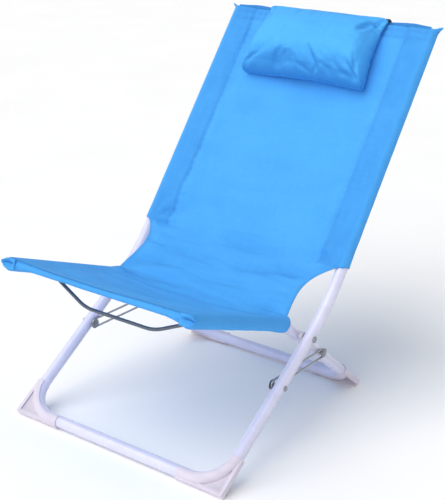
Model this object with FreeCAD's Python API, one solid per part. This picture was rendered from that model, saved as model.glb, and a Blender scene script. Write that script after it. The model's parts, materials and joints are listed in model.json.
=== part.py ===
import FreeCAD, Part
import math
import os

from FreeCAD import Vector

# Folding beach chair: two bent steel tube frames crossing at a pivot, a fabric sling between them.
# Millimetres. +X is the sitter's left, -Y is the front, +Z is up, and the feet stand on z = 0.
# The side profile is drawn with y = 0 at the front floor tube. The last step moves everything
# along Y so that the origin is the centre of the footprint box on the floor.

# Steel tube frames
TUBE_R = 11.0
TUBE_WALL = 1.2
FLOOR_TUBE_Z = 14.0            # centre of the tubes that lie along the floor
BACK_HALF = 230.0              # half the spacing of the back frame's side tubes
SEAT_HALF = 200.0              # half the spacing of the seat frame's side tubes
CORNER_R = 65.0                # bends between floor tubes and legs
PIVOT_Y = 267.0
PIVOT_Z = 193.0
BACK_BEND_R = 400.0            # slow bend from front leg to back
SEAT_BEND_R = 120.0            # bend from rear leg to seat
BACK_ANGLE = 52.8              # back above the horizontal
REAR_LEG_ANGLE = 39.5          # rear legs above the horizontal
SEAT_ANGLE = 20.6              # seat tubes rise to the front
PIVOT_TO_SEAT_BEND = 52.5
BACK_LENGTH = 583.0            # bend corner to tube end
SEAT_LENGTH = 290.0
PLUG_CAP = 2.0
PLUG_STEM = 14.0

# Rivets and the wire loops that limit how far the frames open
RUNNING_GAP = 0.05
MAIN_SHANK_R = 3.0
LINK_SHANK_R = 2.5
FRONT_PIN_DISTANCE = 110.0     # main pivot to the pin in the front leg
REAR_PIN_DISTANCE = 98.0       # main pivot to the pin in the rear leg
WIRE_R = 2.0
LOOP_HALF_WIDTH = 8.4          # centre line of the wire to the middle of the loop
LOOP_X = 214.8                 # plane of the loop, between the two frames
RIVET_HEAD_H = 2.4

# Spreader rods that hold the free tube ends apart
ROD_R = 3.25
ROD_DROP = 46.0
ROD_FLAT_HALF = 79.0
ROD_BEND_R = 90.0
ROD_KNEE = 16.0                # straight run between a tube's centre and the slope of the bow
SEAT_ROD_AT = 212.0            # distance from the seat bend
BACK_ROD_AT = 505.0            # distance from the back bend

# Moulded corner feet
FOOT_R = 13.0
FOOT_REACH = 87.0              # along the floor tube, from the leg's centre line
FOOT_HEIGHT = 60.0             # up the leg
FOOT_EDGE = 13.5               # sharp corner beyond the tube centre lines
FOOT_WEB = 2.5                 # half the thickness of the web
FOOT_RIM = 6.5
FOOT_OPEN = 5.0                # the sleeve is open on the inside of the bend beyond this offset
SCREW_INSET = 8.0

# Fabric
SLEEVE_IN = 11.4
SLEEVE_OUT = 12.4
PANEL_T = 1.2
BACK_SAG = 14.0
SEAT_SAG = 14.0
BACK_FABRIC = (84.0, 590.0)    # from the back bend, along the back
SEAT_FABRIC = (24.0, 300.0)    # from the seat bend, along the seat
LAP_HALF = 184.0               # half width of the unsupported fabric behind the seat bend
LAP_END = (352.0, 290.0)
PILLOW_HALF = 140.0
PILLOW_ALONG = (434.0, 588.0)
PILLOW_DEPTH = (14.5, 62.0)
FLAP_HALF = 118.0
FLAP_FROM = 500.0
FLAP_T = 1.5


def direction(degrees):
    """Unit vector in the side plane, measured from +Y towards +Z."""
    angle = math.radians(degrees)
    return Vector(0, math.cos(angle), math.sin(angle))


def at_x(point, x):
    return Vector(x, point.y, point.z)


PIVOT = Vector(0, PIVOT_Y, PIVOT_Z)
FRONT_LEG_ANGLE = math.degrees(math.atan2(PIVOT_Z - FLOOR_TUBE_Z, PIVOT_Y))
FRONT_LEG = direction(FRONT_LEG_ANGLE)
BACK_DIR = direction(BACK_ANGLE)
BACK_NORMAL = direction(BACK_ANGLE + 90)
REAR_LEG = direction(-REAR_LEG_ANGLE)
SEAT_DIR = direction(180 - SEAT_ANGLE)
SEAT_NORMAL = direction(90 - SEAT_ANGLE)

FRONT_FLOOR = Vector(0, 0, FLOOR_TUBE_Z)
BACK_CORNER_RUN = BACK_BEND_R * math.tan(math.radians(BACK_ANGLE - FRONT_LEG_ANGLE) / 2)
BACK_CORNER = PIVOT + FRONT_LEG * BACK_CORNER_RUN
BACK_END = BACK_CORNER + BACK_DIR * BACK_LENGTH
REAR_FLOOR = PIVOT + REAR_LEG * ((PIVOT_Z - FLOOR_TUBE_Z) / math.sin(math.radians(REAR_LEG_ANGLE)))
SEAT_CORNER = PIVOT - REAR_LEG * PIVOT_TO_SEAT_BEND
SEAT_END = SEAT_CORNER + SEAT_DIR * SEAT_LENGTH
FRONT_PIN = PIVOT - FRONT_LEG * FRONT_PIN_DISTANCE
REAR_PIN = PIVOT + REAR_LEG * REAR_PIN_DISTANCE


def rounded_path(points, radii):
    """A wire of straight runs through the points, joined by tangent arcs of the given radii."""
    edges = []
    start = points[0]
    for before, corner, after, radius in zip(points, points[1:], points[2:], radii):
        inward = (before - corner).normalize()
        outward = (after - corner).normalize()
        half = inward.getAngle(outward) / 2
        first = corner + inward * (radius / math.tan(half))
        last = corner + outward * (radius / math.tan(half))
        centre = corner + (inward + outward).normalize() * (radius / math.sin(half))
        middle = centre + (corner - centre).normalize() * radius
        edges.append(Part.LineSegment(start, first).toShape())
        edges.append(Part.Arc(first, middle, last).toShape())
        start = last
    edges.append(Part.LineSegment(start, points[-1]).toShape())
    return Part.Wire(edges)


def swept_circle(path, radius):
    first = path.Edges[0]
    start = first.valueAt(first.FirstParameter)
    tangent = first.tangentAt(first.FirstParameter)
    profile = Part.Wire([Part.makeCircle(radius, start, tangent)])
    return path.makePipeShell([profile], True, False)


def bar(x_low, x_high, point, radius):
    """A round bar along X through a point of the side plane."""
    return Part.makeCylinder(radius, x_high - x_low, at_x(point, x_low), Vector(1, 0, 0))


def both_sides(shape):
    mirrored = shape.mirror(Vector(0, 0, 0), Vector(1, 0, 0))
    return Part.makeCompound([mirrored, shape])


def mirror_x(shape):
    return shape.mirror(Vector(0, 0, 0), Vector(1, 0, 0))


# Bent tube frames ---------------------------------------------------------------------------

def frame_path(half, end, corner, floor, bend_radius):
    right = [at_x(end, -half), at_x(corner, -half), at_x(floor, -half)]
    left = [at_x(floor, half), at_x(corner, half), at_x(end, half)]
    return rounded_path(right + left, [bend_radius, CORNER_R, CORNER_R, bend_radius])


def bent_tube(path, holes):
    tube = swept_circle(path, TUBE_R).cut(swept_circle(path, TUBE_R - TUBE_WALL))
    for hole in holes:
        tube = tube.cut(hole)
    return tube


def through_holes(half, point, radius):
    reach = TUBE_R + 2
    left = bar(half - reach, half + reach, point, radius + RUNNING_GAP)
    return [left, mirror_x(left)]


def rod_holes(half, point):
    left = bar(half - TUBE_R - 2, half, point, ROD_R + RUNNING_GAP)
    return [left, mirror_x(left)]


def end_plugs(half, end, along):
    centre = at_x(end, half)
    cap = Part.makeCylinder(TUBE_R, PLUG_CAP, centre, along)
    cap = cap.makeFillet(PLUG_CAP / 2, [cap.Edges[0]])
    stem = Part.makeCylinder(TUBE_R - TUBE_WALL - RUNNING_GAP, PLUG_STEM, centre, along * -1)
    return both_sides(cap.fuse(stem).removeSplitter())


# Rivets, spacers and washers ----------------------------------------------------------------

def domed_head(x, point, radius, height, side):
    """A rivet head whose flat side is at x, pointing to +X or -X."""
    axis = Vector(side, 0, 0)
    disc = Part.makeCylinder(radius, height, at_x(point, x), axis)
    far = max(disc.Edges, key=lambda e: e.CenterOfMass.x * side)
    return disc.makeFillet(height * 0.6, [far])


def washer(x_low, x_high, point, inner, outer):
    return bar(x_low, x_high, point, outer).cut(bar(x_low - 1, x_high + 1, point, inner))


def main_rivets():
    inner_face = SEAT_HALF - TUBE_R
    outer_face = BACK_HALF + TUBE_R
    shank = bar(inner_face - 2.0, outer_face, PIVOT, MAIN_SHANK_R)
    head = domed_head(outer_face, PIVOT, 6.0, RIVET_HEAD_H, 1)
    tail = domed_head(inner_face - 1.5, PIVOT, 5.0, 2.0, -1)
    return both_sides(shank.fuse([head, tail]).removeSplitter())


def main_spacers():
    low = SEAT_HALF + TUBE_R + 0.1
    high = BACK_HALF - TUBE_R - 0.1
    return both_sides(washer(low, high, PIVOT, MAIN_SHANK_R + RUNNING_GAP, 8.0))


def main_washers():
    high = SEAT_HALF - TUBE_R - 0.1
    return both_sides(washer(high - 1.3, high, PIVOT, MAIN_SHANK_R + RUNNING_GAP, 7.5))


def front_pins():
    """Pins through the front legs. Their inner ends hold the wire loops against the tubes."""
    outer_face = BACK_HALF + TUBE_R
    inner_end = SEAT_HALF + TUBE_R + 0.2
    shank = bar(inner_end, outer_face, FRONT_PIN, LINK_SHANK_R)
    head = domed_head(outer_face, FRONT_PIN, 5.0, 2.0, 1)
    tail = bar(inner_end, inner_end + 0.6, FRONT_PIN, 4.0)
    return both_sides(shank.fuse([head, tail]).removeSplitter())


def front_pin_washers():
    low = SEAT_HALF + TUBE_R + 0.9
    return both_sides(washer(low, low + 0.7, FRONT_PIN, LINK_SHANK_R + RUNNING_GAP, 9.5))


def rear_pins():
    """Pins through the rear legs. Their outer heads hold the wire loops against the tubes."""
    inner_face = SEAT_HALF - TUBE_R
    outer_end = BACK_HALF - TUBE_R - 0.2
    shank = bar(inner_face, outer_end - 1.0, REAR_PIN, LINK_SHANK_R)
    head = domed_head(outer_end - 1.0, REAR_PIN, 5.5, 1.0, 1)
    tail = domed_head(inner_face, REAR_PIN, 4.5, 1.8, -1)
    return both_sides(shank.fuse([head, tail]).removeSplitter())


def rear_pin_washers():
    low = LOOP_X + WIRE_R + 0.2
    return both_sides(washer(low, low + 0.7, REAR_PIN, LINK_SHANK_R + RUNNING_GAP, 9.5))


def wire_loop():
    """A closed wire loop on the left side, pulled tight between its two pins."""
    along = (REAR_PIN - FRONT_PIN).normalize()
    across = Vector(0, -along.z, along.y)
    slack = LOOP_HALF_WIDTH - WIRE_R - LINK_SHANK_R - RUNNING_GAP
    front = at_x(FRONT_PIN + along * slack, LOOP_X)
    rear = at_x(REAR_PIN - along * slack, LOOP_X)
    side = across * LOOP_HALF_WIDTH
    edges = [
        Part.LineSegment(front + side, rear + side).toShape(),
        Part.Arc(rear + side, rear + along * LOOP_HALF_WIDTH, rear - side).toShape(),
        Part.LineSegment(rear - side, front - side).toShape(),
        Part.Arc(front - side, front - along * LOOP_HALF_WIDTH, front + side).toShape(),
    ]
    straight_up = Part.makeCylinder(WIRE_R, front.distanceToPoint(rear), front + side, along)
    straight_down = Part.makeCylinder(WIRE_R, front.distanceToPoint(rear), front - side, along)
    ends = []
    for centre, outward in ((rear, along), (front, along * -1)):
        profile = Part.Face(Part.Wire([Part.makeCircle(WIRE_R, centre + side, along)]))
        turn = -180 if outward == along else 180
        ends.append(profile.revolve(centre, Vector(1, 0, 0), turn))
    loop = straight_up.fuse([straight_down] + ends)
    expected = math.pi * WIRE_R ** 2 * sum(e.Length for e in edges)
    print("wire loop volume ratio", round(loop.Volume / expected, 4))
    return loop


# Spreader rods ------------------------------------------------------------------------------

def spreader_rod(half, corner, along, normal, distance):
    """A bow between the side tubes, on the side away from the sitter."""
    base = corner + along * distance
    low = base - normal * ROD_DROP
    inside = half - ROD_KNEE
    points = [at_x(base, -(half + 6)), at_x(base, -inside), at_x(low, -ROD_FLAT_HALF)]
    points += [at_x(p, -p.x) for p in reversed(points)]
    return swept_circle(rounded_path(points, [14.0, ROD_BEND_R, ROD_BEND_R, 14.0]), ROD_R)


# Moulded feet -------------------------------------------------------------------------------

def foot(half, leg_angle):
    """The left foot of a frame whose leg rises towards +Y from a floor tube at y = 0.

    It is drawn flat, floor tube along X and leg along +Y, then tilted to the leg's angle.
    """
    bend = Vector(half - CORNER_R, CORNER_R, 0)
    inner_end = half - FOOT_REACH
    outer = half + FOOT_EDGE
    path = rounded_path([Vector(inner_end, 0, 0), Vector(half, 0, 0), Vector(half, 80, 0)],
                        [CORNER_R])
    long_path = rounded_path([Vector(inner_end - 10, 0, 0), Vector(half, 0, 0),
                              Vector(half, 120, 0)], [CORNER_R])
    sleeve = swept_circle(path, FOOT_R)
    open_side = Part.makeCylinder(CORNER_R - FOOT_OPEN, 40, bend - Vector(0, 0, 20))
    open_end = Part.makeBox(bend.x - inner_end + 10, 20, 40,
                            Vector(inner_end - 10, FOOT_OPEN, -20))
    length = outer - inner_end
    tall = FOOT_HEIGHT + FOOT_EDGE
    web = Part.makeBox(length, tall, 2 * FOOT_WEB, Vector(inner_end, -FOOT_EDGE, -FOOT_WEB))
    web = web.cut(Part.makeCylinder(CORNER_R, 20, bend - Vector(0, 0, 10)))
    web = web.cut(Part.makeBox(CORNER_R + 25, tall, 20, Vector(bend.x - 25, CORNER_R, -10)))
    sole = Part.makeBox(length, FOOT_RIM, 17.0, Vector(inner_end, -FOOT_EDGE, -12.0))
    side = Part.makeBox(FOOT_RIM, tall, 11.0, Vector(outer - FOOT_RIM, -FOOT_EDGE, -5.5))
    body = sleeve.fuse([web, sole, side]).cut(open_side).cut(open_end)
    above = Part.makeBox(200, 100, 60, Vector(half - 100, FOOT_HEIGHT, -30))
    body = body.cut(above).cut(swept_circle(long_path, TUBE_R + RUNNING_GAP))
    body.rotate(Vector(0, 0, 0), Vector(1, 0, 0), leg_angle)
    body.translate(Vector(0, 0, FLOOR_TUBE_Z))
    ground = Part.makeBox(2 * BACK_HALF, 200, 40, Vector(0, -100, -40))
    body = body.cut(ground).cut(screw(half, 0.0, RUNNING_GAP))
    return max(body.Solids, key=lambda s: s.Volume)


def screw(half, y, clearance):
    """A short screw up through the end of a left foot into the floor tube."""
    x = half - FOOT_REACH + SCREW_INSET
    up = Vector(0, 0, 1)
    head = Part.makeCylinder(3.2 + clearance, 1.5 + clearance, Vector(x, y, 0.5), up)
    shank = Part.makeCylinder(1.5 + clearance, 6.0, Vector(x, y, 1.5), up)
    return head.fuse(shank)


def rear_side(shape):
    """Turns a shape drawn at the front floor tube round to the rear floor tube's right side."""
    turned = shape.copy()
    turned.rotate(Vector(0, 0, 0), Vector(0, 0, 1), 180)
    turned.translate(Vector(0, REAR_FLOOR.y, 0))
    return turned


# Fabric -------------------------------------------------------------------------------------

def sagging_strip(half, base, along, normal, length, sag, top):
    """A strip of fabric of constant section that hangs in a shallow arc between its long edges."""
    def edge(height):
        ends = [at_x(base, x) + normal * height for x in (-half, half)]
        return ends, base + normal * (height - sag)
    (left_top, right_top), mid_top = edge(top)
    (left_low, right_low), mid_low = edge(top - PANEL_T)
    outline = Part.Wire([
        Part.Arc(left_top, mid_top, right_top).toShape(),
        Part.LineSegment(right_top, right_low).toShape(),
        Part.Arc(right_low, mid_low, left_low).toShape(),
        Part.LineSegment(left_low, left_top).toShape(),
    ])
    return Part.Face(outline).extrude(along * length)


def sleeves(half, base, along, length, notch):
    start = at_x(base, half)
    ring = Part.makeCylinder(SLEEVE_OUT, length, start, along)
    ring = ring.cut(Part.makeCylinder(SLEEVE_IN, length, start, along))
    ring = ring.cut(bar(half - SLEEVE_OUT - 2, half, notch, ROD_R + 1.5))
    return [ring, mirror_x(ring)]


def sling_back():
    low, high = BACK_FABRIC
    base = BACK_CORNER + BACK_DIR * low
    panel = sagging_strip(BACK_HALF, base, BACK_DIR, BACK_NORMAL, high - low, BACK_SAG, SLEEVE_OUT)
    notch = BACK_CORNER + BACK_DIR * BACK_ROD_AT
    return panel.fuse(sleeves(BACK_HALF, base, BACK_DIR, high - low, notch)).removeSplitter()


def sling_seat():
    low, high = SEAT_FABRIC
    base = SEAT_CORNER + SEAT_DIR * low
    panel = sagging_strip(SEAT_HALF, base, SEAT_DIR, SEAT_NORMAL, high - low, SEAT_SAG, SLEEVE_OUT)
    notch = SEAT_CORNER + SEAT_DIR * SEAT_ROD_AT
    rings = sleeves(SEAT_HALF, base, SEAT_DIR, high - low, notch)
    lap_start = base + SEAT_NORMAL * SLEEVE_OUT
    lap_end = Vector(0, *LAP_END)
    lap_dir = (lap_end - lap_start).normalize()
    lap_normal = Vector(0, -lap_dir.z, lap_dir.y)
    lap = sagging_strip(LAP_HALF, lap_start - lap_dir * 4, lap_dir, lap_normal,
                        lap_start.distanceToPoint(lap_end) + 4, SEAT_SAG, 0.0)
    return panel.fuse(rings + [lap]).removeSplitter()


def slab(half, along_range, depth_range):
    """A box lying on the back: half width in X, a range along the back and one out of it."""
    low, high = along_range
    near, far = depth_range
    corners = []
    for s, n in ((low, near), (high, near), (high, far), (low, far), (low, near)):
        corners.append(at_x(BACK_CORNER + BACK_DIR * s + BACK_NORMAL * n, -half))
    face = Part.Face(Part.makePolygon(corners))
    return face.extrude(Vector(2 * half, 0, 0))


def head_pillow():
    block = slab(PILLOW_HALF, PILLOW_ALONG, PILLOW_DEPTH)
    return block.makeFillet(12.0, block.Edges)


def pillow_flap():
    """Fabric flap that passes over the top hem and hangs behind the back."""
    top = BACK_FABRIC[1] + 1.0
    behind = SLEEVE_OUT - PANEL_T - BACK_SAG - 2.0
    hanging = slab(FLAP_HALF, (FLAP_FROM, top + FLAP_T), (behind - FLAP_T, behind))
    over = slab(FLAP_HALF, (top, top + FLAP_T), (behind - FLAP_T, PILLOW_DEPTH[0] + 12.0))
    return hanging.fuse(over).removeSplitter()


# Assembly -----------------------------------------------------------------------------------

def frame_nodes():
    screw_front = screw(BACK_HALF, 0.0, 0.0)
    screw_rear = rear_side(screw(SEAT_HALF, 0.0, 0.0))
    back_rod_at = BACK_CORNER + BACK_DIR * BACK_ROD_AT
    seat_rod_at = SEAT_CORNER + SEAT_DIR * SEAT_ROD_AT
    back_holes = through_holes(BACK_HALF, PIVOT, MAIN_SHANK_R)
    back_holes += through_holes(BACK_HALF, FRONT_PIN, LINK_SHANK_R)
    back_holes += rod_holes(BACK_HALF, back_rod_at)
    front_screw_hole = screw(BACK_HALF, 0.0, RUNNING_GAP)
    back_holes += [front_screw_hole, mirror_x(front_screw_hole)]
    seat_holes = through_holes(SEAT_HALF, PIVOT, MAIN_SHANK_R)
    seat_holes += through_holes(SEAT_HALF, REAR_PIN, LINK_SHANK_R)
    seat_holes += rod_holes(SEAT_HALF, seat_rod_at)
    rear_screw_hole = rear_side(screw(SEAT_HALF, 0.0, RUNNING_GAP))
    seat_holes += [rear_screw_hole, mirror_x(rear_screw_hole)]
    back_path = frame_path(BACK_HALF, BACK_END, BACK_CORNER, FRONT_FLOOR, BACK_BEND_R)
    seat_path = frame_path(SEAT_HALF, SEAT_END, SEAT_CORNER, REAR_FLOOR, SEAT_BEND_R)
    front_foot = foot(BACK_HALF, FRONT_LEG_ANGLE)
    rear_foot = rear_side(foot(SEAT_HALF, REAR_LEG_ANGLE))
    return {
        "back_frame_tube": bent_tube(back_path, back_holes),
        "seat_frame_tube": bent_tube(seat_path, seat_holes),
        "back_tube_plugs": end_plugs(BACK_HALF, BACK_END, BACK_DIR),
        "seat_tube_plugs": end_plugs(SEAT_HALF, SEAT_END, SEAT_DIR),
        "front_foot_left": front_foot,
        "front_foot_right": mirror_x(front_foot),
        "rear_foot_right": rear_foot,
        "rear_foot_left": mirror_x(rear_foot),
        "front_foot_screws": both_sides(screw_front),
        "rear_foot_screws": both_sides(screw_rear),
        "back_spreader_rod": spreader_rod(BACK_HALF, BACK_CORNER, BACK_DIR, BACK_NORMAL,
                                          BACK_ROD_AT),
        "seat_spreader_rod": spreader_rod(SEAT_HALF, SEAT_CORNER, SEAT_DIR, SEAT_NORMAL,
                                          SEAT_ROD_AT),
    }


def pivot_nodes():
    left_loop = wire_loop()
    return {
        "main_pivot_rivets": main_rivets(),
        "main_pivot_spacers": main_spacers(),
        "main_pivot_washers": main_washers(),
        "front_link_pins": front_pins(),
        "front_link_washers": front_pin_washers(),
        "rear_link_pins": rear_pins(),
        "rear_link_washers": rear_pin_washers(),
        "link_loop_left": left_loop,
        "link_loop_right": mirror_x(left_loop),
    }


def fabric_nodes():
    return {
        "sling_back": sling_back(),
        "sling_seat": sling_seat(),
        "head_pillow": head_pillow(),
        "pillow_flap": pillow_flap(),
    }


def main():
    os.makedirs("parts", exist_ok=True)
    nodes = {**frame_nodes(), **pivot_nodes(), **fabric_nodes()}
    box = Part.makeCompound(list(nodes.values())).optimalBoundingBox(False, False)
    centre_y = round((box.YMin + box.YMax) / 2, 2)
    shift = Vector(0, -centre_y, 0)
    for name, shape in nodes.items():
        shape.translate(shift)
        if not shape.isValid():
            print("invalid shape", name)
        shape.exportStep(os.path.join("parts", name + ".step"))
    print("size", round(box.XLength, 2), round(box.YLength, 2), round(box.ZLength, 2))
    print("lowest point", round(box.ZMin, 3), "centre y", centre_y)
    for name, point in (("pivot", PIVOT), ("front pin", FRONT_PIN), ("rear pin", REAR_PIN),
                        ("back corner", BACK_CORNER), ("seat corner", SEAT_CORNER),
                        ("rear floor tube", REAR_FLOOR)):
        print(name, [round(v, 4) for v in point + shift])


main()
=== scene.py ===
import json
import math

import bpy
import numpy as np
from mathutils import Matrix, Vector, noise


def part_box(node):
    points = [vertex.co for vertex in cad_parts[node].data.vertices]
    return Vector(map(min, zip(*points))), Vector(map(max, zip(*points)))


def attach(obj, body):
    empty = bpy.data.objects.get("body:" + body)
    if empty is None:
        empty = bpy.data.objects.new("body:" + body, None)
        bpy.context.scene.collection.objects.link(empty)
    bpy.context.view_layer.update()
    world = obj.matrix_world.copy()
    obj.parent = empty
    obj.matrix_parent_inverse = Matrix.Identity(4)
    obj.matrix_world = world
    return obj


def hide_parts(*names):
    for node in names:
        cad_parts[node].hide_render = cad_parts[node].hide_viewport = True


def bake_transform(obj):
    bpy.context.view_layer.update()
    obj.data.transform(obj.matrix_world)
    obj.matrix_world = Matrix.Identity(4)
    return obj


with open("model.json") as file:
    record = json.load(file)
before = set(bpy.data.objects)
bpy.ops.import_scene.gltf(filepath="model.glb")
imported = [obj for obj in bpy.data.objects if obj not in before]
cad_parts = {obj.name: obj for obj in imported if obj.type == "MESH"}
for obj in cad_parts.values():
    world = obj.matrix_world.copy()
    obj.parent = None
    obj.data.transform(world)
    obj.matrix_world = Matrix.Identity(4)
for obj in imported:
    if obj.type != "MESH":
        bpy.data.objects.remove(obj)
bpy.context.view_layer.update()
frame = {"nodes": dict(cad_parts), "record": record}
nodes = frame["nodes"]


MM = 0.001
scene = bpy.context.scene

# The chair's side profile, as in the CAD part. Lengths are in millimetres and become metres in
# place(). s runs along a tube, and n stands off it towards the sitter.
low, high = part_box("main_pivot_rivets")
PIVOT = np.array([(low.y + high.y) / 2, (low.z + high.z) / 2]) / MM
PIVOT_BEHIND = 267.0           # main pivot behind and above the front floor tube
PIVOT_ABOVE = 179.0
PIVOT_TO_SEAT_BEND = 52.5
BACK_BEND_R = 400.0            # slow bend between a front leg and the back
REAR_LEG_ANGLE = 39.5          # this angle and the next three are above the horizontal
BACK_ANGLE = 52.8
SEAT_ANGLE = 20.6
FRONT_LEG_ANGLE = math.degrees(math.atan2(PIVOT_ABOVE, PIVOT_BEHIND))
BACK_HALF = 230.0              # half the spacing of the back frame's side tubes
SEAT_HALF = 200.0              # half the spacing of the seat frame's side tubes


def heading(degrees):
    return np.array([math.cos(math.radians(degrees)), math.sin(math.radians(degrees))])


HALF_BEND = math.radians(BACK_ANGLE - FRONT_LEG_ANGLE) / 2
BACK_CORNER = PIVOT + heading(FRONT_LEG_ANGLE) * BACK_BEND_R * math.tan(HALF_BEND)
SEAT_CORNER = PIVOT + heading(180 - REAR_LEG_ANGLE) * PIVOT_TO_SEAT_BEND
BACK = (BACK_CORNER, heading(BACK_ANGLE), heading(BACK_ANGLE + 90))
SEAT = (SEAT_CORNER, heading(180 - SEAT_ANGLE), heading(90 - SEAT_ANGLE))


def place(x, yz):
    """Metres from millimetres."""
    return (x * MM, yz[0] * MM, yz[1] * MM)


def at(side, s, n):
    """y and z at a distance s along a tube and n off it. side is BACK or SEAT."""
    origin, along, normal = side
    return origin + along * s + normal * n


def height_over(side, yz):
    """How far a place stands off a tube's centre line, which is its n."""
    return float((yz - side[0]) @ side[2])


def smooth(t):
    t = min(max(t, 0.0), 1.0)
    return t * t * (3 - 2 * t)


def near(distance, width):
    """1 at no distance, fading away over a few widths."""
    return math.exp(-(distance / width) ** 2)


def wave(x, y, seed):
    return noise.noise(Vector((x, y, seed)))


# Materials ----------------------------------------------------------------------------------

OBJECT_COORDS = 3              # output numbers of Texture Coordinate, Geometry and Attribute
POINTINESS = 7
FACTOR = 2
THREAD_PITCH = 0.9             # millimetres from thread to thread
SHADOW_TINT_SHARE = (0.12, 0.28, 0.46)  # share of the shade colour in the darkest painted shade, bluer to stand for bounced blue light


class Shader:
    """A small wrapper that adds nodes and links them in one call."""

    def __init__(self, name):
        self.material = bpy.data.materials.new(name)
        self.material.use_nodes = True
        self.tree = self.material.node_tree
        self.bsdf = self.tree.nodes["Principled BSDF"]

    def add(self, kind, out=0, attrs=None, **inputs):
        """Adds a node. Inputs go by name, or by number as i0, i1 and so on."""
        node = self.tree.nodes.new("ShaderNode" + kind)
        for key, value in (attrs or {}).items():
            setattr(node, key, value)
        for key, value in inputs.items():
            numbered = key[0] == "i" and key[1:].isdigit()
            socket = int(key[1:]) if numbered else key.replace("_", " ")
            self.feed(node.inputs[socket], value)
        return node.outputs[out]

    def feed(self, socket, value):
        if isinstance(value, bpy.types.NodeSocket):
            self.tree.links.new(value, socket)
        elif isinstance(value, tuple) and len(value) == 3 and socket.type == "RGBA":
            socket.default_value = (*value, 1.0)
        else:
            socket.default_value = value

    def math(self, operation, a, b=0.0, c=0.0):
        return self.add("Math", attrs={"operation": operation}, i0=a, i1=b, i2=c)

    def scaled(self, vector, scale):
        return self.add("VectorMath", attrs={"operation": "MULTIPLY"}, i0=vector, i1=scale)

    def noise(self, vector, scale, detail=2.0, roughness=0.5):
        return self.add("TexNoise", Vector=vector, Scale=scale, Detail=detail,
                        Roughness=roughness)

    def ramp(self, value, low, high, from_low=0.0, from_high=1.0):
        return self.add("MapRange", i0=value, i1=from_low, i2=from_high, i3=low, i4=high)

    def mix(self, factor, a, b):
        return self.add("MixRGB", i0=factor, i1=a, i2=b)

    def bump(self, height, distance, strength=1.0, normal=None):
        inputs = {"Height": height, "Distance": distance, "Strength": strength}
        if normal is not None:
            inputs["Normal"] = normal
        return self.add("Bump", **inputs)

    def set(self, **inputs):
        for key, value in inputs.items():
            self.feed(self.bsdf.inputs[key.replace("_", " ")], value)
        return self.material


def darker(colour, share):
    return tuple(v * share for v in colour)


def fabric(name, colour, shade):
    """Plain woven cloth. The UV map is in metres, so the threads have their real size."""
    m = Shader(name)
    uv = m.add("UVMap", attrs={"uv_map": "cloth"})
    threads = 1 / (THREAD_PITCH * MM)
    parts = m.tree.nodes.new("ShaderNodeSeparateXYZ")
    m.feed(parts.inputs[0], m.scaled(uv, (threads, threads, 0)))
    across = m.math("SINE", m.math("MULTIPLY", parts.outputs[0], math.pi))
    along = m.math("SINE", m.math("MULTIPLY", parts.outputs[1], math.pi))
    over = m.math("GREATER_THAN", m.math("MULTIPLY", across, along), 0.0)
    across, along = m.math("ABSOLUTE", across), m.math("ABSOLUTE", along)
    weave = m.math("ADD", m.math("MULTIPLY", over, across),
                   m.math("MULTIPLY", m.math("SUBTRACT", 1.0, over), along))
    slub_along = m.noise(m.scaled(uv, (520, 22, 0)), 1.0, 4.0, 0.65)
    slub_across = m.noise(m.scaled(uv, (22, 520, 0)), 1.0, 4.0, 0.65)
    slub = m.math("ADD", slub_along, slub_across)
    cloud = m.noise(m.add("TexCoord", OBJECT_COORDS), 9.0, 3.0)
    # Painted shade: a per-point attribute darkens the cloth towards a darker, bluer copy of its
    # colour, which stands for shade and for light bounced off the blue cloth.
    fold = m.add("Attribute", FACTOR, attrs={"attribute_name": "fold"})
    tone = m.math("ADD", m.ramp(weave, -0.07, 0.03), m.ramp(slub, -0.13, 0.13, 0.7, 1.3))
    tone = m.math("ADD", tone, m.ramp(cloud, -0.05, 0.05, 0.3, 0.7))
    bright = m.mix(m.math("ADD", 0.70, m.math("MULTIPLY", tone, 2.4)), shade, colour)
    shadow_tint = tuple(v * share for v, share in zip(shade, SHADOW_TINT_SHARE))
    creases = m.noise(m.scaled(uv, (26, 60, 0)), 1.0, 4.0, 0.55)
    normal = m.bump(creases, 0.0016, 0.35)
    normal = m.bump(slub, 0.00012, 0.6, normal)
    normal = m.bump(weave, 0.00022, 0.65, normal)
    return m.set(Base_Color=m.mix(fold, bright, shadow_tint), Roughness=m.ramp(weave, 0.86, 0.70),
                 Normal=normal, Sheen_Weight=0.12, Sheen_Roughness=0.45,
                 Sheen_Tint=(0.25, 0.62, 1.0), Specular_IOR_Level=0.15)


def thread(name, colour):
    """Twisted thread or tape."""
    m = Shader(name)
    twist = m.add("TexWave", attrs={"bands_direction": "DIAGONAL"},
                  Vector=m.add("TexCoord", OBJECT_COORDS), Scale=900.0)
    tone = m.mix(twist, darker(colour, 0.72), colour)
    return m.set(Base_Color=tone, Roughness=0.62, Normal=m.bump(twist, 0.0001),
                 Sheen_Weight=0.2)


def paint(name, colour, scuffed):
    """Powder coat: a fine orange peel, small pits, and grey scuffs in patches and on edges."""
    m = Shader(name)
    where = m.add("TexCoord", OBJECT_COORDS)
    peel = m.noise(where, 620.0, 2.0)
    slow = m.noise(where, 34.0, 3.0)
    rub = m.noise(m.scaled(where, (60, 60, 190)), 1.0, 5.0, 0.7)
    rub = m.ramp(rub, 0.0, 0.55, 0.66, 0.78)
    rub = m.math("MULTIPLY", rub, m.ramp(slow, 0.0, 1.0, 0.5, 0.62))
    edge = m.ramp(m.add("NewGeometry", POINTINESS), 0.0, 0.5, 0.53, 0.60)
    worn = m.math("MULTIPLY", edge, m.ramp(slow, 0.2, 1.0))
    rub = m.math("MAXIMUM", rub, worn)
    base = m.mix(m.ramp(slow, 0.0, 1.0, 0.35, 0.65), colour, darker(colour, 0.94))
    base = m.mix(rub, base, scuffed)
    rough = m.math("ADD", m.ramp(slow, 0.26, 0.36, 0.3, 0.7), m.math("MULTIPLY", rub, 0.25))
    return m.set(Base_Color=base, Roughness=rough, Normal=m.bump(peel, 0.00009, 0.7),
                 Coat_Weight=0.35, Coat_Roughness=0.18)


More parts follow.
